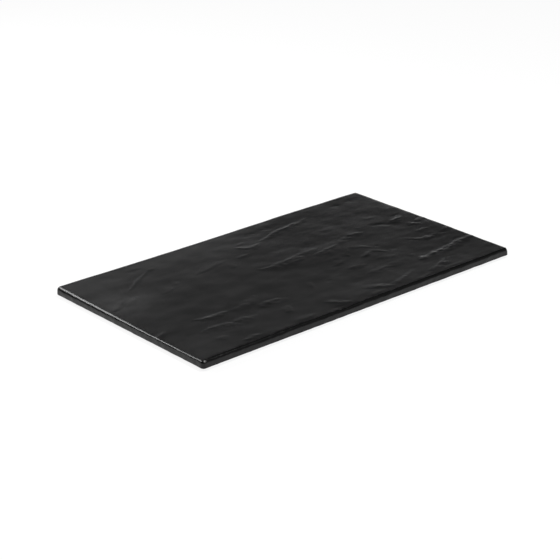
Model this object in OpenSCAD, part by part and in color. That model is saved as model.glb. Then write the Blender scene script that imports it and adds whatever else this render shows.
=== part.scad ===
// Slate serving board: one split and edge-ground slab of slate on four stick-on rubber feet.
// Millimetres, +Z up, length along X. The origin is on the table, under the middle of the board.

/* [Slab] */
// Length of the slab, along X
slab_length = 320; // [200:1:540]
// Width of the slab, along Y
slab_width = 180; // [120:1:330]
// Thickness of the slab, from its underside to the serving plane
slab_thick = 6; // [5:0.1:12]
// Radius of the upright corners, seen from above
corner_radius = 2.5; // [2.5:0.1:12]
// Radius of the ground edge along the top
top_round = 2; // [0.8:0.1:2.4]
// Radius of the eased edge along the bottom
bottom_round = 0.5; // [0.3:0.1:2.4]

/* [Riven face] */
// Height of a full ledge above the serving plane, and depth of a full scar below it
ledge_height = 0.35; // [0.15:0.05:0.6]
// Width across the steep step behind a full ledge's crest
ledge_step = 2; // [1:0.1:3]
// Width across the long slope in front of a full ledge's crest
ledge_slope = 10; // [5:0.5:11]

/* [Feet] */
// Diameter of a foot where it is stuck to the slab
foot_diameter = 12; // [8:0.5:20]
// Height of a foot's rubber
foot_height = 1.8; // [1.2:0.1:5]
// How far a foot draws in from its top to its bottom, on each side
foot_taper = 0.4; // [0.1:0.1:1]
// Radius of a foot's lower rim
foot_rim = 0.5; // [0.2:0.1:0.8]
// Distance from the slab's end to a foot's middle
foot_end_inset = 25; // [15:1:60]
// Distance from the slab's side to a foot's middle
foot_side_inset = 25; // [15:1:50]
// Thickness of the adhesive disc between foot and slab
adhesive_thick = 0.2; // [0.1:0.05:0.5]
// How far the adhesive disc stays inside the foot's outline
adhesive_margin = 0.4; // [0.1:0.1:1]

/* [Hidden] */
$fn = 64;

// Heights above the table
underside = foot_height + adhesive_thick;
serving_plane = underside + slab_thick;

// The slab inside its rounded rim, and the feet's middles
core_length = slab_length - 2 * corner_radius;
core_width = slab_width - 2 * corner_radius;
foot_x = slab_length / 2 - foot_end_inset;
foot_y = slab_width / 2 - foot_side_inset;

// Marks of the splitting: [crest line, rise, step, slope].
// A crest line runs from left to right, in percent of the slab's half length and half width.
// Rise, step and slope are shares of a full ledge's.
// The step is behind the crest and the slope in front of it.
// A ledge is the edge of a thin layer that was left standing.
LEDGES = [
    // Back
    [[[-3, 64], [0, 61], [2, 56], [5, 56], [8, 59]], 0.9, 1.2, 0.6],
    [[[8, 63], [15, 66], [20, 67], [25, 71], [34, 73], [44, 75], [51, 79]], 1, 1.2, 0.9],
    // Middle
    [[[-12, 16], [-6, 11], [-2, 13], [5, 13], [9, 12], [14, 15], [26, 19]], 1, 1.3, 1.6],
    [[[20, 7], [25, 7], [31, 9], [34, 8], [39, 13]], 0.9, 1.2, 1.4],
    [[[40, 13], [45, 14], [49, 17], [56, 18], [61, 13]], 0.7, 1.6, 0.9],
    [[[80, 18], [84, 18], [88, 19], [92, 23]], 1, 1.2, 0.6],
    [[[37, -27], [40, -26], [43, -24], [46, -21]], 0.8, 1.2, 0.5],
    [[[45, -20], [48, -26], [52, -31]], 0.6, 1, 0.4],
    // Front right
    [[[71, -21], [74, -27], [77, -32], [81, -33], [86, -32]], 1.1, 1.3, 0.25],
    [[[55, -68], [58, -66], [61, -63], [67, -63], [75, -61], [86, -58], [94, -55], [99, -53]], 1.3, 1.4, 1],
    [[[26, -54], [31, -56], [36, -57], [41, -57], [47, -52]], 0.7, 1.2, 0.8],
    [[[49, -88], [54, -87], [59, -84], [63, -81], [69, -78]], 0.95, 1.6, 0.8],
    [[[24, -88], [29, -88], [33, -86], [38, -83], [42, -78]], 0.8, 1.6, 0.7],
    [[[9, -79], [14, -83], [19, -88], [22, -92]], 0.7, 2.2, 0.4],
    // Front left
    [[[-75, -32], [-71, -36], [-67, -39], [-62, -37], [-58, -39], [-52, -38], [-48, -42]], 0.85, 1.4, 0.7],
    [[[-51, -42], [-46, -39], [-41, -36], [-38, -32], [-34, -28]], 0.5, 1.5, 0.8],
    [[[-83, -55], [-79, -56], [-75, -54], [-66, -57], [-63, -59], [-59, -57], [-48, -60]], 0.6, 1.4, 0.9],
    [[[-45, -47], [-40, -47], [-36, -48], [-31, -48], [-26, -51]], 0.7, 1.4, 0.9],
    [[[-17, -78], [-13, -83], [-10, -90], [-6, -93]], 1, 2, 0.3],
    // Back left
    [[[-74, 53], [-69, 59], [-62, 66], [-58, 70], [-54, 76]], 0.65, 1.3, 0.4],
    [[[-96, 23], [-91, 25], [-88, 28], [-83, 31], [-79, 37]], 0.8, 3.5, 0.35],
    [[[-42, 39], [-38, 41], [-31, 43], [-24, 46], [-15, 48]], 0.5, 4, 0.35]
];
// A scar is the same form cut into the face, where a flake came out.
SCARS = [
    [[[69, 24], [74, 21], [78, 18], [82, 13], [86, 8]], 0.9, 1.2, 0.6],
    [[[82, -19], [94, -19]], 0.6, 1.8, 0.6],
    [[[85, 87], [96, 87]], 0.9, 2, 0.6]
];
// Scars in the underside, seen from above, clear of the feet
UNDERSIDE_SCARS = [
    [[[-60, 62], [-36, 68], [-12, 70]], 0.9, 1.6, 1.2],
    [[[8, 30], [30, 31], [55, 36]], 1, 1.5, 1.5],
    [[[-70, 5], [-40, 2]], 0.8, 1.8, 1.2],
    [[[-30, -30], [-8, -29], [10, -24]], 1, 1.5, 1.4],
    [[[30, -66], [64, -60]], 0.8, 1.6, 1],
    [[[-55, -72], [-20, -76]], 0.7, 1.8, 0.9]
];

// Quarter of a disc in the first quadrant
module quarter_disc(radius) {
    intersection() {
        circle(radius);
        square(radius);
    }
}

// Section of the slab's rim, from the corner's axis out to the upright side
module rim_profile() {
    translate([0, bottom_round])
        square([corner_radius, slab_thick - top_round - bottom_round]);
    translate([0, slab_thick - top_round])
        square([corner_radius - top_round, top_round]);
    square([corner_radius - bottom_round, bottom_round]);
    translate([corner_radius - top_round, slab_thick - top_round])
        quarter_disc(top_round);
    translate([corner_radius - bottom_round, bottom_round])
        mirror([0, 1])
            quarter_disc(bottom_round);
}

// Straight stretch of rim on the +X side, "reach" out from the middle
module rim_run(reach, run) {
    translate([reach, run / 2])
        rotate([90, 0])
            linear_extrude(run)
                rim_profile();
}

// Slab before splitting: a core, four straight rims and four turned corners
module ground_slab() {
    translate([-core_length / 2, -core_width / 2])
        cube([core_length, core_width, slab_thick]);
    for (turn = [0, 180])
        rotate(turn) {
            rim_run(core_length / 2, core_width);
            rotate(90)
                rim_run(core_width / 2, core_length);
            translate([core_length / 2, core_width / 2])
                rotate_extrude(angle = 90)
                    rim_profile();
            translate([-core_length / 2, core_width / 2])
                rotate(90)
                    rotate_extrude(angle = 90)
                        rim_profile();
        }
}

// Place on the face, in millimetres, of a point given in percent
function on_face(percent) = [percent.x * slab_length / 200, percent.y * slab_width / 200];

// Height along a mark: 1 in its middle, and dipping a little under the plane at its blunt ends
function swell(t, dip = 0.1, bluntness = 0.5) = (1 + dip) * pow(sin(180 * t), bluntness) - dip;

// One section across a mark: behind its step, at its crest and in front of its slope.
// The outer points lie under the plane by the root, a share of a full ledge's rise.
// Step and slope keep their tilt, so a lower stretch of the mark is narrower too.
function mark_section(mark, t, root = 0.2) =
    let (
        line = [for (point = mark[0]) on_face(point)],
        first = line[0].x,
        x = first + t * (line[len(line) - 1].x - first),
        y = lookup(x, line),
        height = swell(t),
        reach = height + root / mark[1]
    ) [
        [x, y + reach * mark[2] * ledge_step, -root * ledge_height],
        [x, y, height * mark[1] * ledge_height],
        [x, y - reach * mark[3] * ledge_slope, -root * ledge_height]
    ];

// Keel of one mark, with the plane that it stands on at zero height
module keel(mark, stretches = 16) {
    sections = [for (i = [0 : stretches]) mark_section(mark, i / stretches)];
    sides = [
        for (i = [0 : stretches - 1], side = [0 : 2])
            let (a = 3 * i + side, b = 3 * i + (side + 1) % 3)
                each [[a, b + 3, b], [a, a + 3, b + 3]]
    ];
    start_cap = [0, 1, 2];
    end_cap = [for (corner = [2 : -1 : 0]) 3 * stretches + corner];
    polyhedron(
        [for (section = sections) each section],
        concat([start_cap], sides, [end_cap])
    );
}

// Children at one foot's place: side is [-1 or 1, -1 or 1], for left or right and front or back
module at_foot(side) {
    translate([side.x * foot_x, side.y * foot_y])
        children();
}

module slab() {
    color("#2c2c2d")
        difference() {
            union() {
                translate([0, 0, underside])
                    ground_slab();
                for (mark = LEDGES)
                    translate([0, 0, serving_plane])
                        keel(mark);
            }
            for (mark = SCARS)
                translate([0, 0, serving_plane])
                    mirror([0, 0, 1])
                        keel(mark);
            for (mark = UNDERSIDE_SCARS)
                translate([0, 0, underside])
                    keel(mark);
        }
}

// Turned section of a foot: flat bottom, round lower rim, sides that spread towards the slab
module foot_profile() {
    radius = foot_diameter / 2;
    rim_middle = radius - foot_taper - foot_rim;
    square([rim_middle, foot_rim]);
    translate([rim_middle, foot_rim])
        mirror([0, 1])
            quarter_disc(foot_rim);
    polygon([
        [0, foot_rim],
        [radius - foot_taper, foot_rim],
        [radius, foot_height],
        [0, foot_height]
    ]);
}

module foot(side) {
    color("#1a1a1a")
        at_foot(side)
            rotate_extrude()
                foot_profile();
}

module adhesive(side) {
    color("#d8d4c8")
        at_foot(side)
            translate([0, 0, foot_height])
                cylinder(d = foot_diameter - 2 * adhesive_margin, h = adhesive_thick);
}

slab();
foot([-1, -1]);  // foot_front_left
foot([1, -1]);  // foot_front_right
foot([-1, 1]);  // foot_back_left
foot([1, 1]);  // foot_back_right
adhesive([-1, -1]);  // adhesive_front_left
adhesive([1, -1]);  // adhesive_front_right
adhesive([-1, 1]);  // adhesive_back_left
adhesive([1, 1]);  // adhesive_back_right
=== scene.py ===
# %% [markdown]
# A slate serving board, photographed from above one of its corners on a white table.
# The construction is fixed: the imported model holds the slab, four rubber feet and their adhesive discs.
# This lesson gives the slab its riven stone surface and every piece its finish.
# Nothing here moves or resizes a part.

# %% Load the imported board
import math

import bpy
import numpy as np
from mathutils import Matrix, Vector


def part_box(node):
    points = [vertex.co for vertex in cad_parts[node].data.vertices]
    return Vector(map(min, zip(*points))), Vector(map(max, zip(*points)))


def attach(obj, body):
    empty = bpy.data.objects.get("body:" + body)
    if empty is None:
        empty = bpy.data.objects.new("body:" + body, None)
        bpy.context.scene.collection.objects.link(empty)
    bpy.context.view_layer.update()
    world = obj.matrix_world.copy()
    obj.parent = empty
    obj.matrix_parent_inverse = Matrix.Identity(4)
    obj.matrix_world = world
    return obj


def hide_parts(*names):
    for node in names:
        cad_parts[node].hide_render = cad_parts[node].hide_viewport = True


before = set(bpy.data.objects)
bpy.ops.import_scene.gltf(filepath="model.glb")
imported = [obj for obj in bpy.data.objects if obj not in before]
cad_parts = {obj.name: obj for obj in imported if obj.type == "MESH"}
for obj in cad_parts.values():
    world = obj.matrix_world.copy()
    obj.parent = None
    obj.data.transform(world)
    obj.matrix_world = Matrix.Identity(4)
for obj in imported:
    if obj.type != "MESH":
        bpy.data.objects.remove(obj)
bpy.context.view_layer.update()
slab_low, slab_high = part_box("slab")
MM = 0.001
SLAB_THICK = 6.0 * MM
serving_plane = slab_low.z + SLAB_THICK
print("slab, metres:", [round(v, 4) for v in slab_high - slab_low])

# %% [markdown]
# The camera comes first, because everything else is judged through it.
# It could be moved by eye until the outlines agree. Fitting a slab of this size to the photograph's outline
# is surer, and it gave the lens, the angles and the distance below.
# The view is a long lens from the front left corner, a little under 23 degrees above the table.
# The camera is built from three axes: right, up and back, where back points from the board to the lens.

# %% Camera
PHOTO_SIDE = 560
FOCAL_PIXELS = 1730.6
SENSOR = 36.0
VIEW_TURN = math.radians(-41.327)
VIEW_RISE = math.radians(22.901)
VIEW_ROLL = math.radians(-0.314)
VIEW_DISTANCE = 1371.2 * MM
VIEW_ASIDE = 6.40 * MM
VIEW_ABOVE = 10.29 * MM


def view_axes(turn, rise, roll):
    """Right, up and back of a camera that is turned about Z, raised, and rolled about its line of sight."""
    level_right = Vector((math.cos(turn), math.sin(turn), 0))
    back = Vector((math.sin(turn) * math.cos(rise), -math.cos(turn) * math.cos(rise), math.sin(rise)))
    level_up = back.cross(level_right)
    right = math.cos(roll) * level_right + math.sin(roll) * level_up
    up = math.cos(roll) * level_up - math.sin(roll) * level_right
    return right, up, back


right, up, back = view_axes(VIEW_TURN, VIEW_RISE, VIEW_ROLL)
camera = bpy.data.objects.new("camera", bpy.data.cameras.new("camera"))
camera.data.sensor_width = SENSOR
camera.data.lens = SENSOR * FOCAL_PIXELS / PHOTO_SIDE
face_middle = Vector((0, 0, serving_plane))
camera_place = face_middle + back * VIEW_DISTANCE - right * VIEW_ASIDE - up * VIEW_ABOVE
camera_turn = Matrix((right, up, back)).transposed().to_4x4()
camera.matrix_world = Matrix.Translation(camera_place) @ camera_turn
bpy.context.scene.collection.objects.link(camera)
bpy.context.scene.camera = camera
bpy.context.scene.view_settings.view_transform = "Standard"
print("lens, mm:", round(camera.data.lens, 1))

# %% [markdown]
# The light is a small product studio, and the reflections in the photograph tell where its lamps stand.
# A softbox high in front gives the plain level, so colours render about as written.
# It also glints in the near corner.
# A second one behind the left end draws the bright line along the board's short edge.
# A low card at the back makes every slope that faces it shine, while slopes that face the camera stay dark.
# A small fill lights the far left corner.
# A wide card in front shows the relief to a viewer behind the board. The dark band on the long edge means
# that nothing bright stands low at the front right, so that card is dim.
# Lamps could be placed by hand. One function that aims each of them by a turn and a rise is easier to adjust.

# %% Lamps
WORLD_GREY = 0.024


def grey(level):
    """Neutral colour of one level, opaque."""
    return (level, level, level, 1)


def softbox(name, turn, rise, distance, width, height, power):
    """Area lamp that faces the origin: turn is degrees from +Y towards +X, rise is degrees above the table.
    Lengths are in metres and power is in watts."""
    lamp = bpy.data.lights.new(name, "AREA")
    lamp.shape = "RECTANGLE"
    lamp.size, lamp.size_y = width, height
    lamp.energy = power
    turn, rise = math.radians(turn), math.radians(rise)
    towards = Vector((math.sin(turn) * math.cos(rise), math.cos(turn) * math.cos(rise), math.sin(rise)))
    holder = bpy.data.objects.new(name, lamp)
    holder.location = towards * distance
    holder.rotation_euler = towards.to_track_quat("Z", "Y").to_euler()
    bpy.context.scene.collection.objects.link(holder)


softbox("overhead_softbox", turn=150, rise=71, distance=1.6, width=0.45, height=0.45, power=22.0)
softbox("edge_softbox", turn=-27, rise=34.35, distance=0.872, width=0.86, height=0.19, power=6.5)
softbox("back_card", turn=22, rise=3.75, distance=2.0, width=3.3, height=0.31, power=6.1)
softbox("corner_fill", turn=20, rise=14, distance=0.47, width=0.25, height=0.1, power=0.0074)
softbox("front_card", turn=175, rise=22, distance=2.2, width=6.0, height=1.3, power=6.0)

world = bpy.data.worlds.new("studio")
world.use_nodes = True
world.node_tree.nodes["Background"].inputs["Color"].default_value = grey(WORLD_GREY)
bpy.context.scene.world = world

# %% [markdown]
# The table renders as a white sheet. Painted white and lit by these lamps alone, it would be uneven.
# So its own colour is a dark grey, which takes the lamps' light and keeps a faint shadow of the board.
# The rest of its white is light that it adds, but only for the camera and for reflections.
# A small helper makes each shader node with its settings and inputs, here and in the later materials.

# %% White table
TABLE_SIDE = 12.0
TABLE_WHITE = 0.13
TABLE_LIFT = 0.88
TABLE_ROUGHNESS = 0.9


def node(tree, kind, inputs=(), **settings):
    """New shader node with its settings, and with the values or links of its inputs."""
    made = tree.nodes.new(kind)
    for name, value in settings.items():
        setattr(made, name, value)
    for name, value in dict(inputs).items():
        if isinstance(value, bpy.types.NodeSocket):
            tree.links.new(value, made.inputs[name])
        else:
            made.inputs[name].default_value = value
    return made


def combine(tree, operation, first, second):
    """Result of a Math node on two numbers or sockets."""
    return node(tree, "ShaderNodeMath", {0: first, 1: second}, operation=operation).outputs[0]


def new_material(name):
    """Material with its node tree and its Principled shader."""
    material = bpy.data.materials.new(name)
    material.use_nodes = True
    tree = material.node_tree
    return material, tree, tree.nodes["Principled BSDF"]


def white_sheet():
    """Matt white with a lift of its own light for camera, glossy and clear rays."""
    material, tree, shader = new_material("white_table")
    shader.inputs["Base Color"].default_value = grey(TABLE_WHITE)
    shader.inputs["Roughness"].default_value = TABLE_ROUGHNESS
    shader.inputs["Specular IOR Level"].default_value = 0
    shader.inputs["Emission Color"].default_value = grey(1)
    path = node(tree, "ShaderNodeLightPath").outputs
    reflected = combine(tree, "MAXIMUM", path["Is Glossy Ray"], path["Is Transmission Ray"])
    seen = combine(tree, "MAXIMUM", path["Is Camera Ray"], reflected)
    tree.links.new(combine(tree, "MULTIPLY", seen, TABLE_LIFT), shader.inputs["Emission Strength"])
    return material


def white_table():
    """Flat square sheet at height zero."""
    half = TABLE_SIDE / 2
    corners = [(-half, -half, 0), (half, -half, 0), (half, half, 0), (-half, half, 0)]
    mesh = bpy.data.meshes.new("table")
    mesh.from_pydata(corners, [], [(0, 1, 2, 3)])
    mesh.materials.append(white_sheet())
    table = bpy.data.objects.new("table", mesh)
    bpy.context.scene.collection.objects.link(table)
    return table


white_table()
print("table side, metres:", TABLE_SIDE)

# %% [markdown]
# Slate splits along its cleavage, and the split face is never quite flat.
# A thin layer that broke off short leaves a ledge: a step behind its crest and a slope in front of it.
# A scar is the same form, sunk, where a flake came out.
# Which way a ledge faces can be read from the photograph at the far outline, where its height shows directly.
# Ledges could be sculpted. As short lists they are easier to compare with the photograph and to move.
# A mark is a crest line from left to right, in percent of the half length and half width, with three shares
# of a full ledge: its rise, the width of its step and the width of its slope.
# Each mark of this cell has its fellow in the construction model. Most crests lie within 3 mm of it, but some
# ends and one whole ledge were moved further, and most steps were made wider, to look like the photograph.

# %% Ledges and scars
LEDGES = [
    # Back
    (((-5, 66), (-2, 62), (1, 57), (4, 55), (7, 57), (10, 60)), 1, 2.2, 0.6),
    (((10, 62), (14, 64), (20, 66), (25, 70), (34, 72), (44, 74), (50, 77), (55, 80)), 1, 1.9, 0.9),
    # Middle
    (((-15, 15), (-11, 12), (-6, 9), (-2, 10), (5, 10), (10, 11), (15, 14), (27, 17)), 1, 2.2, 1.6),
    (((18, 5), (25, 5), (31, 7), (35, 8), (40, 11)), 0.9, 2, 1.4),
    (((39, 12), (44, 14), (47, 16), (50, 18), (54, 19), (61, 16)), 0.9, 2.4, 0.9),
    (((78, 17), (82, 18), (86, 19), (92, 22)), 1.4, 2, 0.6),
    (((35, -28), (39, -26), (42, -24), (46, -21)), 1.2, 2, 0.5),
    (((44, -19), (48, -25), (52, -31)), 0.7, 1.6, 0.4),
    # Front right
    (((69, -20), (72, -24), (75, -30), (78, -33), (84, -33), (88, -31)), 1.5, 2.4, 0.4),
    (((53, -67), (57, -65), (62, -64), (70, -63), (80, -61), (90, -58), (102, -55)), 1.8, 2.3, 1),
    (((23, -56), (30, -57), (36, -57), (42, -56), (48, -52)), 0.7, 2.4, 1.6),
    (((47, -88), (52, -88), (57, -86), (61, -83), (66, -80), (72, -79)), 1.1, 2.2, 0.8),
    (((23, -88), (29, -88), (33, -86), (38, -82), (44, -78)), 0.9, 2.4, 0.7),
    (((8, -78), (14, -83), (19, -88), (24, -93)), 1, 4, 0.4),
    # Front left
    (((-76, -32), (-71, -36), (-67, -38), (-63, -38), (-59, -37), (-55, -37)), 0.85, 1.9, 0.7),
    (((-52, -42), (-46, -39), (-41, -36), (-38, -32), (-34, -28)), 0.6, 3.6, 0.8),
    (((-84, -55), (-79, -56), (-75, -54), (-66, -57), (-63, -59), (-59, -57), (-48, -60)), 0.65, 1.9, 1.3),
    (((-45, -46), (-40, -47), (-36, -47), (-31, -47), (-25, -51)), 0.9, 2.4, 1),
    (((-17, -78), (-13, -83), (-10, -89), (-5, -94)), 1.2, 4, 0.3),
]
# Back left, with smooth edges
SOFT_LEDGES = [
    (((-79, 48), (-74, 54), (-66, 64), (-58, 72), (-52, 79)), 0.8, 1.2, 0.4),
    (((-98, 24), (-94, 26), (-91, 29), (-88, 34), (-86, 38)), 0.9, 3.5, 0.35),
    (((-42, 39), (-38, 41), (-31, 43), (-24, 46), (-15, 48)), 0.5, 4, 0.35),
]
SCARS = [
    (((69, 24), (74, 21), (78, 18), (82, 13), (86, 8)), 0.9, 1.2, 1.4),
    (((82, -19), (94, -19)), 0.6, 1.8, 0.6),
    (((83, 86), (95, 86)), 0.9, 2, 1),
]
UNDERSIDE_SCARS = [
    (((-60, 62), (-36, 68), (-12, 70)), 0.9, 1.6, 1.2),
    (((8, 30), (30, 31), (55, 36)), 1, 1.5, 1.5),
    (((-70, 5), (-40, 2)), 0.8, 1.8, 1.2),
    (((-30, -30), (-8, -29), (10, -24)), 1, 1.5, 1.4),
    (((30, -66), (64, -60)), 0.8, 1.6, 1),
    (((-55, -72), (-20, -76)), 0.7, 1.8, 0.9),
]
print("ledges and scars:", len(LEDGES + SOFT_LEDGES), len(SCARS), "and below", len(UNDERSIDE_SCARS))

# %% [markdown]
# The face has many more marks: short crests, branches and dents. All but two are lower than a full ledge.
# Those two are short peaks on the highest of the main ledges.
# The construction model leaves them out, because as solids they would cost too many triangles.
# Noise could scatter such marks, but these follow the photograph, so they are listed in the same way.

# %% Extra marks
EXTRA_SOFT_LEDGES = [
    (((-12, 13), (5, 12), (30, 9), (58, 14)), 0.7, 6, 2.6),
    (((-93, 29), (-88, 32)), 0.5, 2.2, 0.3),
    (((-89, 26), (-86, 29), (-80, 33), (-77, 37)), 0.5, 2.5, 0.5),
    (((-88, 42), (-82, 48), (-78, 58)), 0.5, 3.5, 0.5),
    (((-68, 26), (-64, 27), (-58, 29)), 0.4, 5, 0.3),
    (((-57, 35), (-52, 37)), 0.4, 5, 0.3),
    (((-22, 31), (-17, 32)), 0.35, 4, 0.25),
]
EXTRA_LEDGES = [
    (((-1, 68), (5, 70)), 0.5, 1.6, 0.4),
    (((-12, 46), (-8, 45), (-2, 46)), 0.6, 2, 0.5),
    (((60, 27), (64, 26)), 0.45, 1.6, 0.4),
    (((69, 27), (74, 26), (77, 23), (81, 26)), 0.55, 2.4, 0.3),
    (((71, 18), (74, 14), (79, 11)), 0.5, 1.2, 0.5),
    (((73, 39), (78, 38), (84, 35)), 0.45, 2, 0.7),
    (((90, 3), (95, 4), (102, 6)), 0.8, 2.2, 0.5),
    (((84, 1), (88, 1), (91, -4), (92, -10)), 0.9, 3, 0.4),
    (((81, -15), (86, -15), (91, -17)), 0.9, 1.2, 0.9),
    (((89, -31), (94, -30), (102, -27)), 0.8, 2.2, 0.5),
    (((29, -14), (33, -14), (36, -9), (39, -1)), 0.8, 3, 0.5),
    (((40, -6), (44, -7), (48, -12), (50, -19)), 0.6, 3.4, 0.5),
    (((17, -25), (21, -24), (28, -21)), 0.7, 1.6, 0.5),
    (((20, -38), (24, -39), (32, -41)), 0.6, 2, 0.6),
    (((40, -37), (48, -41), (56, -40)), 0.45, 1.8, 0.7),
    (((54, -53), (59, -52)), 0.55, 2, 0.4),
    (((55, -66), (58, -65), (61, -64)), 1.9, 3, 0.6),
    (((63, -65), (67, -64), (71, -63)), 2.1, 2.8, 0.6),
    (((35, -96), (42, -96), (49, -93)), 0.8, 2, 0.3),
    (((4, -93), (9, -94), (16, -93)), 0.5, 2, 0.3),
    (((56, -94), (63, -94), (70, -94)), 0.4, 1.4, 0.3),
    (((-11, -47), (-8, -45), (-4, -39)), 0.55, 3.6, 0.6),
    (((-38, -72), (-34, -71), (-31, -64)), 0.65, 4, 0.5),
    (((-73, -90), (-69, -91), (-65, -90), (-61, -92)), 0.8, 2, 0.4),
    (((-81, -73), (-78, -76), (-74, -76)), 0.45, 2.6, 0.6),
    (((-41, -91), (-34, -92), (-28, -91)), 0.5, 3, 0.3),
    (((-104, -41), (-98, -40), (-95, -38), (-92, -34)), 0.9, 2.5, 0.8),
    (((-58, -38), (-52, -38), (-47, -40)), 0.35, 2, 0.6),
    (((-55, 76), (-50, 77)), 0.5, 2.2, 0.5),
    (((42, 46), (50, 44), (56, 46)), 0.35, 2, 0.7),
]
EXTRA_SCARS = [
    (((8, 79), (39, 84)), 0.6, 3, 0.6),
    (((-65, 84), (-55, 83)), 0.35, 2, 0.9),
    (((86, 27), (94, 28)), 0.5, 1.4, 0.4),
    (((72, 84), (79, 84)), 0.8, 1.4, 0.8),
    (((87, -52), (96, -51)), 0.6, 1.2, 0.3),
    (((88, -32), (94, -32)), 0.7, 1.8, 0.4),
    (((1, -46), (6, -46)), 0.4, 1.4, 0.5),
    (((54, -31), (59, -31)), 0.4, 1.6, 0.5),
    (((51, -16), (54, -16)), 0.5, 1.4, 0.4),
    (((21, -16), (26, -16)), 0.4, 1.4, 0.4),
    (((-19, -92), (-9, -93)), 0.6, 1.4, 0.3),
    (((-98, 23), (-93, 24)), 0.5, 1.4, 0.4),
]
print("extra ledges and scars:", len(EXTRA_SOFT_LEDGES + EXTRA_LEDGES), len(EXTRA_SCARS))

# %% [markdown]
# One function turns a mark into heights. A displacement texture would need a picture of the marks.
# A formula needs none. It works on a fine grid of points over the flat part of the face, inside the rim.
# Along the crest the height swells and dies out. Across it, a smooth step rises and a smooth slope falls.

# %% Height of a mark
LEDGE_RISE = 0.315 * MM
LEDGE_STEP = 2.2 * MM
LEDGE_SLOPE = 10.0 * MM
END_DIP = 0.25
END_BLUNTNESS = 0.5
LEAST_SWELL = 1e-6
HALF_LENGTH = (slab_high.x - slab_low.x) / 2
HALF_WIDTH = (slab_high.y - slab_low.y) / 2
CORNER_RADIUS = 2.5 * MM
CORE_X, CORE_Y = HALF_LENGTH - CORNER_RADIUS, HALF_WIDTH - CORNER_RADIUS
GRID_X, GRID_Y = 262, 200
face_x = np.linspace(-CORE_X, CORE_X, GRID_X + 1)
face_y = np.linspace(-CORE_Y, CORE_Y, GRID_Y + 1)
grid_y, grid_x = np.meshgrid(face_y, face_x, indexing="ij")


def smooth(value):
    """Smooth step from 0 to 1 as value goes from 0 to 1: 3v² - 2v³."""
    value = np.clip(value, 0, 1)
    return value * value * (3 - 2 * value)


def mark_height(x, y, mark):
    """Height of one mark at points x, y: a swell along its crest line, times the lower of a step behind the
    crest and a slope in front of it. The swell is a blunted sine. Step and slope keep their tilt, so a lower
    stretch of the mark is narrower too."""
    points, rise, step, slope = mark
    crest_x, crest_y = np.array(points).T / 100 * np.array([[HALF_LENGTH], [HALF_WIDTH]])
    along = np.clip((x - crest_x[0]) / (crest_x[-1] - crest_x[0]), 0, 1)
    swell = np.maximum((1 + END_DIP) * np.sin(np.pi * along) ** END_BLUNTNESS - END_DIP, 0)
    in_front = (np.interp(x, crest_x, crest_y) - y) / np.maximum(swell, LEAST_SWELL)
    step_up = smooth(1 + in_front / (LEDGE_STEP * step))
    slope_down = smooth(1 - in_front / (LEDGE_SLOPE * slope))
    return LEDGE_RISE * rise * swell * np.minimum(step_up, slope_down)


def highest_mark(x, y, marks):
    """Highest of several marks at each point."""
    return np.max([mark_height(x, y, mark) for mark in marks], axis=0)


def span(values, unit=MM):
    """Lowest and highest of some values, in a unit."""
    return [round(float(value / unit), 2) for value in (values.min(), values.max())]


print("main ledges before noise, mm:", span(highest_mark(grid_x, grid_y, LEDGES)))

# %% [markdown]
# Between the marks nothing on split stone is quite regular, so the next shapes come from noise.
# Blender has noise textures, but a texture's relief is not in the mesh. Noise in numpy can move vertices.
# Gradient noise puts a random slope at each corner of a grid of cells and blends smoothly between corners.
# The cells are stretched along the grain, because the splitting ran along the length of the slab.

# %% Noise along the grain
GRAIN_TURN = math.radians(8)
NOISE_GAIN = 1.5


def gradient_noise(x, y, cell, seed):
    """Smooth random field, about -1 to 1: dot products with random unit slopes at the cell corners, blended
    by the fade 6f⁵ - 15f⁴ + 10f³. The pattern depends on the range of the points, so calls that have to agree
    are given the same range."""
    u, v = x / cell, y / cell
    iu, iv = np.floor(u).astype(int), np.floor(v).astype(int)
    fu, fv = u - iu, v - iv
    iu, iv = iu - iu.min(), iv - iv.min()
    turn = np.random.default_rng(seed).uniform(0, 2 * np.pi, (iv.max() + 2, iu.max() + 2))

    def corner(du, dv):
        angle = turn[iv + dv, iu + du]
        return np.cos(angle) * (fu - du) + np.sin(angle) * (fv - dv)

    fade_u, fade_v = (f**3 * (f * (6 * f - 15) + 10) for f in (fu, fv))
    low = corner(0, 0) * (1 - fade_u) + corner(1, 0) * fade_u
    high = corner(0, 1) * (1 - fade_u) + corner(1, 1) * fade_u
    return NOISE_GAIN * (low * (1 - fade_v) + high * fade_v)


def grain_noise(x, y, cell, stretch, seed, octaves=3):
    """Sum of gradient noises in a frame turned to the grain, with cells stretched along it. Each octave has
    half the cell and half the height of the one before."""
    along = (x * math.cos(GRAIN_TURN) + y * math.sin(GRAIN_TURN)) / stretch
    across = y * math.cos(GRAIN_TURN) - x * math.sin(GRAIN_TURN)
    return sum(gradient_noise(along, across, cell / 2**k, seed + k) / 2**k for k in range(octaves))


layer_noise = grain_noise(grid_x, grid_y, cell=16 * MM, stretch=2.0, seed=11)
print("noise of three octaves:", span(layer_noise, unit=1))

# %% [markdown]
# The riven face puts the marks on a gentle roll. Noise shifts their crest lines and breaks them up.
# A long wave runs across the width. Rounding a slow noise to whole layers turns it into terraces, like the
# contours on a map, and these are the edges of very thin layers.
# The left end is calm and the right end rugged, so the finest relief grows from left to right.

# %% Riven face
CREST_SHIFT = 0.85 * MM
BREAKAGE = 0.6
WAVE_RISE = 0.2 * MM
ROLL_RISE = 0.2 * MM
CALM_SHARE = 0.25
RUGGED_START, RUGGED_SPAN = -0.3, 0.7
LAYER_RISE = 0.05 * MM
LAYER_COUNT = 3
RISER = 0.25
UNEVEN_RISE = 0.07 * MM


def terraces(field, count):
    """Field rounded to steps of 1 / count, each with a short smooth riser."""
    steps = field * count
    whole = np.floor(steps)
    return (whole + smooth((steps - whole) / RISER)) / count


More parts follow.
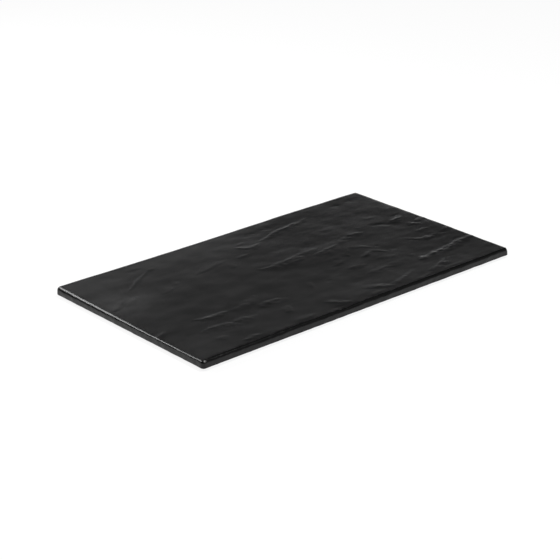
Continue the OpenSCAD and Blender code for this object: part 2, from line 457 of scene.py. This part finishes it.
def riven_height(x, y):
    """Height of the split face over the serving plane: ledges less scars, broken by noise, on soft ledges, a
    wave across the width, 3a - 4a³, a slow roll, thin layers and a fine unevenness."""
    shifted_y = y + CREST_SHIFT * grain_noise(x, y, cell=4 * MM, stretch=1.3, seed=40, octaves=2)
    raised = highest_mark(x, shifted_y, LEDGES + EXTRA_LEDGES)
    sunk = highest_mark(x, shifted_y, SCARS + EXTRA_SCARS)
    broken = 1 + BREAKAGE * grain_noise(x, y, cell=5 * MM, stretch=1.2, seed=50, octaves=2)
    soft = highest_mark(x, y, SOFT_LEDGES + EXTRA_SOFT_LEDGES)
    across = y / HALF_WIDTH
    wave = WAVE_RISE * (3 * across - 4 * across**3)
    roll = ROLL_RISE * grain_noise(x, y, cell=22 * MM, stretch=1.3, seed=3, octaves=2)
    layers = LAYER_RISE * terraces(grain_noise(x, y, cell=16 * MM, stretch=2.0, seed=11), LAYER_COUNT)
    uneven_face = UNEVEN_RISE * grain_noise(x, y, cell=7 * MM, stretch=1.7, seed=21, octaves=2)
    rugged = CALM_SHARE + (1 - CALM_SHARE) * smooth((x / HALF_LENGTH - RUGGED_START) / RUGGED_SPAN)
    return wave + roll + soft + rugged * (layers + uneven_face) + broken * (raised - sunk)


print("riven face, mm:", span(riven_height(grid_x, grid_y)))

# %% [markdown]
# Towards its edges the face stops being flat. Low swells lift the back and right edges, as the far outline
# shows, and a small chip is missing in the front edge. All are bell curves, which blend in without a border.
# Where the face meets the ground edge it falls away at a narrow shoulder.
# A bevel would make that shoulder even. A formula lets the front one be wide and ragged towards the left,
# where the photograph shows a dark band of changing width.

# %% Swells and shoulders
EDGE_SWELLS = [
    ((55, 100), (45, 26), 0.8 * MM),
    ((-97, 100), (36, 26), 0.7 * MM),
    ((100, -20), (16, 50), 0.8 * MM),
    ((-13, -100), (4.5, 9), -0.8 * MM),
]
EDGE_RELIEF = 0.8
RELIEF_FADE = 2.5 * MM
SHOULDER_TILT = 0.17
FRONT_SHOULDER = (2.4 * MM, 0.4 * MM)
LEFT_END = 9 * MM
RAGGED, LEAST_RAGGED = 1.6, 0.15
LEFT_SHOULDER, RIGHT_SHOULDER, BACK_SHOULDER = 1.0 * MM, 2.0 * MM, 1.0 * MM


def bells(x, y, places):
    """Sum of bell curves on the face: height times e to the minus squared distance, each axis in its own
    width. Middles and widths are in percent of the half length and half width."""
    u, v = 100 * x / HALF_LENGTH, 100 * y / HALF_WIDTH
    total_height = 0
    for middle, width, height in places:
        squared = ((u - middle[0]) / width[0]) ** 2 + ((v - middle[1]) / width[1]) ** 2
        total_height = total_height + height * np.exp(-squared)
    return total_height


def edge_distance(x, y):
    """Distance from a point of the face in to the nearest side of the flat part."""
    return np.minimum(CORE_X - np.abs(x), CORE_Y - np.abs(y))


def front_shoulder(x):
    """Width of the front shoulder: wide towards the left, narrow at the right and next to the left edge.
    Noise along the edge makes its border ragged."""
    wide, narrow = FRONT_SHOULDER
    width = wide + (narrow - wide) * smooth(0.5 + x / HALF_LENGTH)
    width = narrow + (width - narrow) * smooth((CORE_X + x) / LEFT_END)
    along = np.clip(x, -CORE_X, CORE_X)
    ragged = 1 + RAGGED * grain_noise(along, 0 * along, cell=6 * MM, stretch=1.0, seed=60, octaves=2)
    return width * np.maximum(ragged, LEAST_RAGGED)


def shoulder_fall(inside, width):
    """Fall of the face at a distance inside one side: a cubic that ends at the edge with a set tilt."""
    return SHOULDER_TILT * width / 3 * (1 - np.clip(inside / width, 0, 1)) ** 3


def top_height(x, y):
    """Height of the face: swells, and the riven height that fades a little towards the ground edge, less the
    fall at the four shoulders."""
    fade = EDGE_RELIEF + (1 - EDGE_RELIEF) * smooth(edge_distance(x, y) / RELIEF_FADE)
    fall = shoulder_fall(CORE_Y + y, front_shoulder(x)) + shoulder_fall(CORE_Y - y, BACK_SHOULDER)
    fall = fall + shoulder_fall(CORE_X + x, LEFT_SHOULDER) + shoulder_fall(CORE_X - x, RIGHT_SHOULDER)
    return serving_plane + bells(x, y, EDGE_SWELLS) + fade * riven_height(x, y) - fall


print("front shoulder, mm:", span(front_shoulder(face_x)))

# %% [markdown]
# The underside is split stone too, with scars and a slow roll, and nobody grinds it.
# It could stay flat, because it is rarely seen. But boards get turned over, so it has relief too.
# The scars are cut up into the slab. At the feet and near the edge the relief fades to flat, so that the
# adhesive discs still meet the stone face to face.

# %% Underside
FOOT_CLEARANCE = 8 * MM
UNDER_ROLL = 0.15 * MM
FEET = [sum(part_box(name), Vector()) / 2 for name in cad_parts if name.startswith("foot")]


def underside_height(x, y):
    """Height of the underside: scars and a roll, times a smooth step away from the feet and from the edge."""
    off_feet = np.min([np.hypot(x - foot.x, y - foot.y) for foot in FEET], axis=0)
    free = smooth((off_feet - FOOT_CLEARANCE) / FOOT_CLEARANCE)
    free = free * smooth(edge_distance(x, y) / FOOT_CLEARANCE)
    roll = UNDER_ROLL * (1 + grain_noise(x, y, cell=25 * MM, stretch=1.4, seed=70, octaves=2))
    return slab_low.z + free * (highest_mark(x, y, UNDERSIDE_SCARS) + roll)


print("feet:", len(FEET))

# %% [markdown]
# The rim was ground by hand: over the top edge, down the side and under the bottom edge.
# A Bevel modifier would round every edge alike. This rim is a profile carried round the outline, so it can
# change: rounder at the far end of the left edge, deeper along the front, roundest at the front right corner.
# At each upright corner the outline stands still while its outward direction makes a quarter turn.

# %% Rim
EDGE_ROUND = 2.0 * MM
BOTTOM_ROUND = 0.5 * MM
# Width and depth of the top round at three places
FAR_ROUND = (2.35 * MM, 2.55 * MM)
FRONT_ROUND = (2.0 * MM, 2.5 * MM)
RIGHT_ROUND = (2.5 * MM, 3.4 * MM)
ARC_STEPS = 8
ROUND_STEPS = 6
SIDE_STEPS = 4


def outline_path():
    """Points round the flat part, counter-clockwise, each with its outward direction. A corner point is
    repeated with the directions of its quarter turn."""
    sides = [
        (face_x, -CORE_Y + 0 * face_x),
        (CORE_X + 0 * face_y, face_y),
        (face_x[::-1], CORE_Y + 0 * face_x),
        (-CORE_X + 0 * face_y, face_y[::-1]),
    ]
    px, py, turn = [], [], []
    for number, (x, y) in enumerate(sides):
        facing = math.radians(90 * number - 90)
        arc = facing + np.arange(1, ARC_STEPS) / ARC_STEPS * np.pi / 2
        px += [x, np.full(len(arc), x[-1])]
        py += [y, np.full(len(arc), y[-1])]
        turn += [np.full(len(x), facing), arc]
    px, py, turn = (np.concatenate(values) for values in (px, py, turn))
    return px, py, np.cos(turn), np.sin(turn)


def rim_profile(far, front, right):
    """Section of the rim, top to bottom: distance out, height, and the share of the top's relief it keeps.
    The top round is a quarter of an ellipse, whose width and depth change by the shares far, front and right.
    The bottom round is a quarter circle."""
    wide, deep = EDGE_ROUND, EDGE_ROUND
    rounds = ((far, FAR_ROUND), (front, FRONT_ROUND), (right, RIGHT_ROUND))
    for share, (share_wide, share_deep) in rounds:
        wide = wide + share * (share_wide - EDGE_ROUND)
        deep = deep + share * (share_deep - EDGE_ROUND)
    bend = np.arange(ROUND_STEPS + 1)[:, None] / ROUND_STEPS * np.pi / 2
    side = np.arange(1, SIDE_STEPS)[:, None] / SIDE_STEPS
    none = 0 * far
    out = np.concatenate([
        none,
        CORNER_RADIUS + wide * (np.sin(bend) - 1),
        CORNER_RADIUS + 0 * side + none,
        CORNER_RADIUS + BOTTOM_ROUND * (np.cos(bend) - 1) + none,
        none,
    ])
    height = np.concatenate([
        SLAB_THICK + none,
        SLAB_THICK + deep * (np.cos(bend) - 1),
        BOTTOM_ROUND + (1 - side) * (SLAB_THICK - deep - BOTTOM_ROUND),
        BOTTOM_ROUND * (1 - np.sin(bend)) + none,
        none,
    ])
    keep = np.concatenate([
        1 + none,
        np.cos(bend) ** 2 + none,
        0 * side + none,
        0 * bend + none,
        none,
    ])
    return out, slab_low.z + height, keep


outline = outline_path()
print("points round the outline:", len(outline[0]))

# %% [markdown]
# The slab is one closed surface in three stretches. The face is a grid, lifted by its height.
# The rim is a set of rings, with a little waviness on the upright sides, as hand grinding leaves it.
# The same rings then run in under the slab to a ridge line, as the slopes of a hipped roof do, laid flat.
# A remesh could join loose stretches, but it would blur the ledges.

# %% Points of the slab
FAR_START, FAR_SPAN = -0.375, 1.25
SIDE_WAVE = 0.22 * MM
UNDER_RINGS = 27


def face_points():
    """Grid of points on the face, in rows from front to back."""
    return np.stack([grid_x, grid_y, top_height(grid_x, grid_y)], axis=2)


def rim_points():
    """Rings from the face's edge to the underside's edge: the outline, moved outwards by the profile, with
    noise where the profile no longer follows the face. The share far grows along the left side, and the share
    right is 1 on the diagonal of the front right corner."""
    px, py, out_x, out_y = outline
    far = np.clip(-out_x, 0, 1) * smooth((py / CORE_Y - FAR_START) / FAR_SPAN)
    front = np.clip(-out_y, 0, 1)
    right = 2 * np.clip(out_x, 0, 1) * front
    out, height, keep = rim_profile(far[None, :], front[None, :], right[None, :])
    along = px - py + 0 * out
    wavy = SIDE_WAVE * grain_noise(along, height, cell=5 * MM, stretch=1.6, seed=90, octaves=2)
    out = out + (1 - keep) * out / CORNER_RADIUS * wavy
    relief = top_height(px, py) - serving_plane
    return np.stack([px + out * out_x, py + out * out_y, height + keep * relief], axis=2)


def under_points():
    """Rings on the underside: the outline, drawn in evenly to a ridge line along the middle."""
    px, py = outline[:2]
    ridge = CORE_X - CORE_Y
    inward = (np.arange(1, UNDER_RINGS + 1) / UNDER_RINGS)[:, None]
    x = px + inward * (np.clip(px, -ridge, ridge) - px)
    y = py - inward * py
    return np.stack([x, y, underside_height(x, y)], axis=2)


face_grid = face_points()
rings = np.concatenate([rim_points(), under_points()])
print("face over the serving plane, mm:", span(face_grid[..., 2] - serving_plane))
print("underside relief, mm:", span(rings[-UNDER_RINGS:, :, 2] - slab_low.z))

# %% [markdown]
# The three stretches become one mesh. Each grid of points gives quads, and points that coincide become one
# vertex, so there is no seam between face, rim and underside.
# The Merge by Distance tool would also weld them, in edit mode. On the arrays it takes a few lines.

# %% One closed mesh
WELD_DISTANCE = 1e-4 * MM


def patch(points, closed):
    """Vertices and quads of a grid of points, rows by columns. A closed grid joins its last column to its
    first."""
    rows, columns = points.shape[:2]
    spans = columns if closed else columns - 1
    row, column = np.meshgrid(np.arange(rows - 1), np.arange(spans), indexing="ij")
    after = (column + 1) % columns
    corners = [(row, column), (row + 1, column), (row + 1, after), (row, after)]
    quads = np.stack([(r * columns + c).ravel() for r, c in corners], axis=1)
    return points.reshape(-1, 3), quads


def weld(patches):
    """One list of vertices and faces from several patches: equal points become one, and a quad that has lost
    a side becomes a triangle."""
    offsets = np.cumsum([0] + [len(points) for points, _ in patches])
    points = np.concatenate([points for points, _ in patches])
    quads = np.concatenate([quads + offset for (_, quads), offset in zip(patches, offsets)])
    rounded = np.round(points / WELD_DISTANCE).astype(np.int64)
    _, first, same = np.unique(rounded, axis=0, return_index=True, return_inverse=True)
    quads = same.reshape(-1)[quads]
    lost = np.stack([quads[:, k] == quads[:, (k + 1) % 4] for k in range(4)], axis=1)
    faces = quads[~lost.any(axis=1)].tolist()
    for k in range(4):
        single = quads[lost[:, k] & (lost.sum(axis=1) == 1)]
        faces += np.delete(single, k, axis=1).tolist()
    return points[first], faces


def build_mesh(name, points, faces):
    """Object at the origin with these vertices and faces, smooth shaded."""
    mesh = bpy.data.meshes.new(name)
    mesh.from_pydata(points.tolist(), [], faces)
    mesh.polygons.foreach_set("use_smooth", np.ones(len(mesh.polygons), dtype=bool))
    mesh.update()
    piece = bpy.data.objects.new(name, mesh)
    bpy.context.scene.collection.objects.link(piece)
    return piece


face, face_quads = patch(face_grid, closed=False)
face_quads = face_quads[:, ::-1]
slab = build_mesh("riven_slab", *weld([(face, face_quads), patch(rings, closed=True)]))
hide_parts("slab")
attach(slab, "root")
print("slab faces:", len(slab.data.polygons))

# %% [markdown]
# The ground edge is smoother and darker than the split face, so the material has to know where it is.
# A second material would end at a hard line. A number on every vertex blends: 0 on the face, rising to 1 over
# the first part of the rounded rim.
# Along the front, a strip of the ragged shoulder counts as ground edge too: smoother, and darker as painted
# shade that deepens the dark band there.

# %% Where the edge is ground
GROUND_RISE = 0.6 * EDGE_ROUND
STRIP_SHARE = 0.4
STRIP_END = 1.2
STRIP_MARGIN = 0.2 * MM
places = np.empty(3 * len(slab.data.vertices))
slab.data.vertices.foreach_get("co", places)
places = places.reshape(-1, 3)
x, y, z = places.T
upper = z > serving_plane - EDGE_ROUND


def store(name, values):
    """Numbers on the slab's vertices, under a name that a material can read."""
    slab.data.attributes.new(name, "FLOAT", "POINT").data.foreach_set("value", values)


beyond = -edge_distance(x, y) - (CORNER_RADIUS - EDGE_ROUND)
rim = smooth(beyond / GROUND_RISE) * smooth((z - slab_low.z) / BOTTOM_ROUND)
strip = upper * smooth(STRIP_END - (CORE_Y + y + STRIP_MARGIN) / (STRIP_SHARE * front_shoulder(x)))
# Painted shade in part: along the front, the strip darkens the shoulder's dark band
ground = np.maximum(rim, strip)
store("ground_edge_and_shade", ground)
print("ground share of vertices:", round(float((ground > 0.5).mean()), 3))

# %% [markdown]
# Oil never soaks in quite evenly, and where it is thin the stone stays a little paler.
# The palest places, at the left end and along the back, are also painted sheen: lighter where the face
# catches the lamps.
# These soft places could be painted on. A second number on every vertex holds them instead, as bell curves
# that noise makes cloudy.

# %% Where the oil is thin, with painted sheen
PALE_AND_SHEEN_PLACES = [
    ((-88, 36), (15, 30), 1.0),
    ((-90, 84), (14, 14), 0.6),
    ((-50, 80), (30, 16), 0.15),
    ((-5, 76), (22, 18), 0.4),
    ((-92, -80), (16, 20), 0.3),
    ((20, -78), (45, 14), 0.25),
    ((88, 60), (6, 9), 0.35),
    ((3, 60), (4, 5), 0.55),
]
CLOUDINESS = 0.5
cloudy = 1 + CLOUDINESS * grain_noise(x, y, cell=9 * MM, stretch=1.2, seed=80, octaves=2)
# Paler colour here: thin oil, and painted sheen at the left end and along the back
pale = upper * np.clip(bells(x, y, PALE_AND_SHEEN_PLACES) * cloudy, 0, 1)
store("thin_oil_and_sheen", pale)
print("palest vertex:", round(float(pale.max()), 2))

# %% [markdown]
# A lamp glints in the round of the near corner, and a pale spot painted there makes that glint brighter.
# The spot is a painted highlight, about a millimetre wide. A facet that small would need a much finer mesh,
# so only
# its colour is made: a bell curve of the distance from its middle, on the round of the corner.

# %% Painted glint at the near corner
GLINT_TURN = math.radians(258)
GLINT_RISE = math.radians(50)
GLINT_SIZE = 0.55 * MM
reach = CORNER_RADIUS - EDGE_ROUND + EDGE_ROUND * math.cos(GLINT_RISE)
glint_x = -CORE_X + reach * math.cos(GLINT_TURN)
glint_y = -CORE_Y + reach * math.sin(GLINT_TURN)
glint_z = serving_plane - EDGE_ROUND * (1 - math.sin(GLINT_RISE))
# Painted highlight: pale colour that brightens the lamp's glint on the corner's round
painted_glint = np.exp(-np.sum((places - (glint_x, glint_y, glint_z)) ** 2, axis=1) / GLINT_SIZE**2)
store("painted_glint", painted_glint)
print("nicked vertices:", int((painted_glint > 0.5).sum()))

# %% [markdown]
# Stone, rubber and adhesive all have small uneven spots.
# Each material could have its own noise nodes. One node group keeps them alike and the materials short.
# It takes a position, a size of spot and a spread, and gives a value around zero.

# %% Uneven spots, shared by the materials
SPOT_DETAIL = 3


def uneven_spots_group():
    """Group: noise of a given spot size, moved to be around zero and multiplied by a spread."""
    group = bpy.data.node_groups.new("uneven_spots", "ShaderNodeTree")
    group.interface.new_socket("Position", in_out="INPUT", socket_type="NodeSocketVector")
    group.interface.new_socket("Spots per metre", in_out="INPUT", socket_type="NodeSocketFloat")
    group.interface.new_socket("Spread", in_out="INPUT", socket_type="NodeSocketFloat")
    group.interface.new_socket("Value", in_out="OUTPUT", socket_type="NodeSocketFloat")
    given = group.nodes.new("NodeGroupInput").outputs
    spots = {"Vector": given["Position"], "Scale": given["Spots per metre"], "Detail": SPOT_DETAIL}
    noise = node(group, "ShaderNodeTexNoise", spots)
    centred = combine(group, "SUBTRACT", noise.outputs["Fac"], 0.5)
    value = combine(group, "MULTIPLY", centred, given["Spread"])
    group.links.new(value, group.nodes.new("NodeGroupOutput").inputs["Value"])
    return group


UNEVEN_SPOTS = uneven_spots_group()


def uneven(tree, position, spots, spread):
    """The shared group placed in a material: its value output."""
    given = {"Position": position, "Spots per metre": spots, "Spread": spread}
    return node(tree, "ShaderNodeGroup", given, node_tree=UNEVEN_SPOTS).outputs["Value"]


def total(tree, *values):
    """Sum of numbers and sockets."""
    result = values[0]
    for value in values[1:]:
        result = combine(tree, "ADD", result, value)
    return result


def mix_colour(tree, share, first, second):
    """Colour that goes from first to second as share goes from 0 to 1."""
    return node(tree, "ShaderNodeMix", {0: share, 6: first, 7: second}, data_type="RGBA").outputs[2]


def object_position(tree):
    """Place on the piece, in metres."""
    return node(tree, "ShaderNodeTexCoord").outputs["Object"]


print("shared group:", UNEVEN_SPOTS.name)

# %% [markdown]
# Oiled slate is a very dark neutral grey. Its colour drifts in clouds and in streaks along the grain.
# The riven face scatters light, with a soft sheen. The ground edge is smoother, so it shows the lamps as
# lines and looks darker between them, partly by a darker colour that is painted shade along the front.
# Places with thin oil are paler, partly as painted sheen, and a painted highlight brightens the glint at the
# near corner.
# One colour with one gloss would look like plastic, so colour, roughness and bump all vary.

# %% Slate
SLATE_DARK = (0.0062, 0.0062, 0.0063, 1)
SLATE_LIGHT = (0.0112, 0.0112, 0.0114, 1)
# Paler grey for thin oil and for painted sheen
SLATE_PALE_AND_SHEEN = (0.024, 0.024, 0.0243, 1)
# Darker grey of the ground edge, also painted shade on the front strip
SLATE_GROUND_AND_SHADE = (0.0045, 0.0045, 0.0046, 1)
# Pale grey, painted as the glint at the near corner
SLATE_GLINT = grey(0.4)
FACE_ROUGHNESS = 0.345
EDGE_ROUGHNESS = 0.24
SLATE_IOR = 1.365
MIDDLE_TONE = 0.5
GRAIN_SQUEEZE = (1, 4, 4)
BUMP_STRENGTH = 0.4
STONE_BUMP = 0.015 * MM


def on_vertices(tree, name):
    """Numbers stored on the vertices."""
    return node(tree, "ShaderNodeAttribute", attribute_name=name).outputs["Fac"]


def bumps(tree, distance, height):
    """Normals of a fine relief that is not in the mesh."""
    relief = {"Strength": BUMP_STRENGTH, "Distance": distance, "Height": height}
    return node(tree, "ShaderNodeBump", relief).outputs[0]


def slate_colour(tree, position, grain):
    """Tone from clouds, streaks and specks, then paler at thin oil and at painted sheen, darker where the
    edge is ground and in the painted shade of the front strip, and pale at the painted glint."""
    clouds = uneven(tree, position, spots=14, spread=0.9)
    streaks = uneven(tree, grain, spots=45, spread=0.8)
    specks = uneven(tree, position, spots=900, spread=0.2)
    tone = total(tree, MIDDLE_TONE, clouds, streaks, specks)
    colour = mix_colour(tree, tone, SLATE_DARK, SLATE_LIGHT)
    colour = mix_colour(tree, on_vertices(tree, "thin_oil_and_sheen"), colour, SLATE_PALE_AND_SHEEN)
    colour = mix_colour(tree, on_vertices(tree, "ground_edge_and_shade"), colour, SLATE_GROUND_AND_SHADE)
    return mix_colour(tree, on_vertices(tree, "painted_glint"), colour, SLATE_GLINT)


def slate():
    """Dark stone: streaked tone, rough face, smooth ground edge, fine grain as bump."""
    material, tree, shader = new_material("oiled_slate")
    position = object_position(tree)
    along_grain = {"Vector": position, "Rotation": (0, 0, -GRAIN_TURN), "Scale": GRAIN_SQUEEZE}
    grain = node(tree, "ShaderNodeMapping", along_grain).outputs[0]
    tree.links.new(slate_colour(tree, position, grain), shader.inputs["Base Color"])
    rough_face = total(tree, FACE_ROUGHNESS, uneven(tree, grain, spots=60, spread=0.08))
    shares = {0: on_vertices(tree, "ground_edge_and_shade"), 2: rough_face, 3: EDGE_ROUGHNESS}
    rough = node(tree, "ShaderNodeMix", shares, data_type="FLOAT")
    tree.links.new(rough.outputs[0], shader.inputs["Roughness"])
    ribs = uneven(tree, grain, spots=220, spread=1.0)
    grit = uneven(tree, position, spots=1500, spread=0.25)
    tree.links.new(bumps(tree, STONE_BUMP, total(tree, ribs, grit)), shader.inputs["Normal"])
    shader.inputs["IOR"].default_value = SLATE_IOR
    return material


slab.data.materials.append(slate())
print("slate on:", slab.name)

# %% [markdown]
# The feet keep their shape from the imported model, because it is already right, and only get a finish.
# Moulded rubber is matt, nearly black, with a fine pebbled skin. The adhesive is a thin off-white film.

# %% Rubber and adhesive
RUBBER_DARK, RUBBER_LIGHT = grey(0.008), grey(0.018)
RUBBER_ROUGHNESS = 0.72
RUBBER_BUMP = 0.05 * MM
FILM_DARK = (0.58, 0.55, 0.47, 1)
FILM_LIGHT = (0.74, 0.71, 0.63, 1)
FILM_ROUGHNESS = 0.45


def rubber():
    """Matt black moulded rubber with a fine pebbled skin."""
    material, tree, shader = new_material("foot_rubber")
    position = object_position(tree)
    tone = total(tree, MIDDLE_TONE, uneven(tree, position, spots=400, spread=1.0))
    tree.links.new(mix_colour(tree, tone, RUBBER_DARK, RUBBER_LIGHT), shader.inputs["Base Color"])
    rough = total(tree, RUBBER_ROUGHNESS, uneven(tree, position, spots=700, spread=0.2))
    tree.links.new(rough, shader.inputs["Roughness"])
    pebbles = uneven(tree, position, spots=2500, spread=1.0)
    tree.links.new(bumps(tree, RUBBER_BUMP, pebbles), shader.inputs["Normal"])
    return material


def adhesive():
    """Off-white adhesive film with faint mottling."""
    material, tree, shader = new_material("foot_adhesive")
    position = object_position(tree)
    tone = total(tree, MIDDLE_TONE, uneven(tree, position, spots=600, spread=0.8))
    tree.links.new(mix_colour(tree, tone, FILM_DARK, FILM_LIGHT), shader.inputs["Base Color"])
    rough = total(tree, FILM_ROUGHNESS, uneven(tree, position, spots=900, spread=0.2))
    tree.links.new(rough, shader.inputs["Roughness"])
    return material


finishes = {"foot": rubber(), "adhesive": adhesive()}
finished = []
for name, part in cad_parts.items():
    kind = name.split("_")[0]
    if kind in finishes:
        part.data.materials.clear()
        part.data.materials.append(finishes[kind])
        finished.append(name)
print("finished nodes:", sorted(finished))
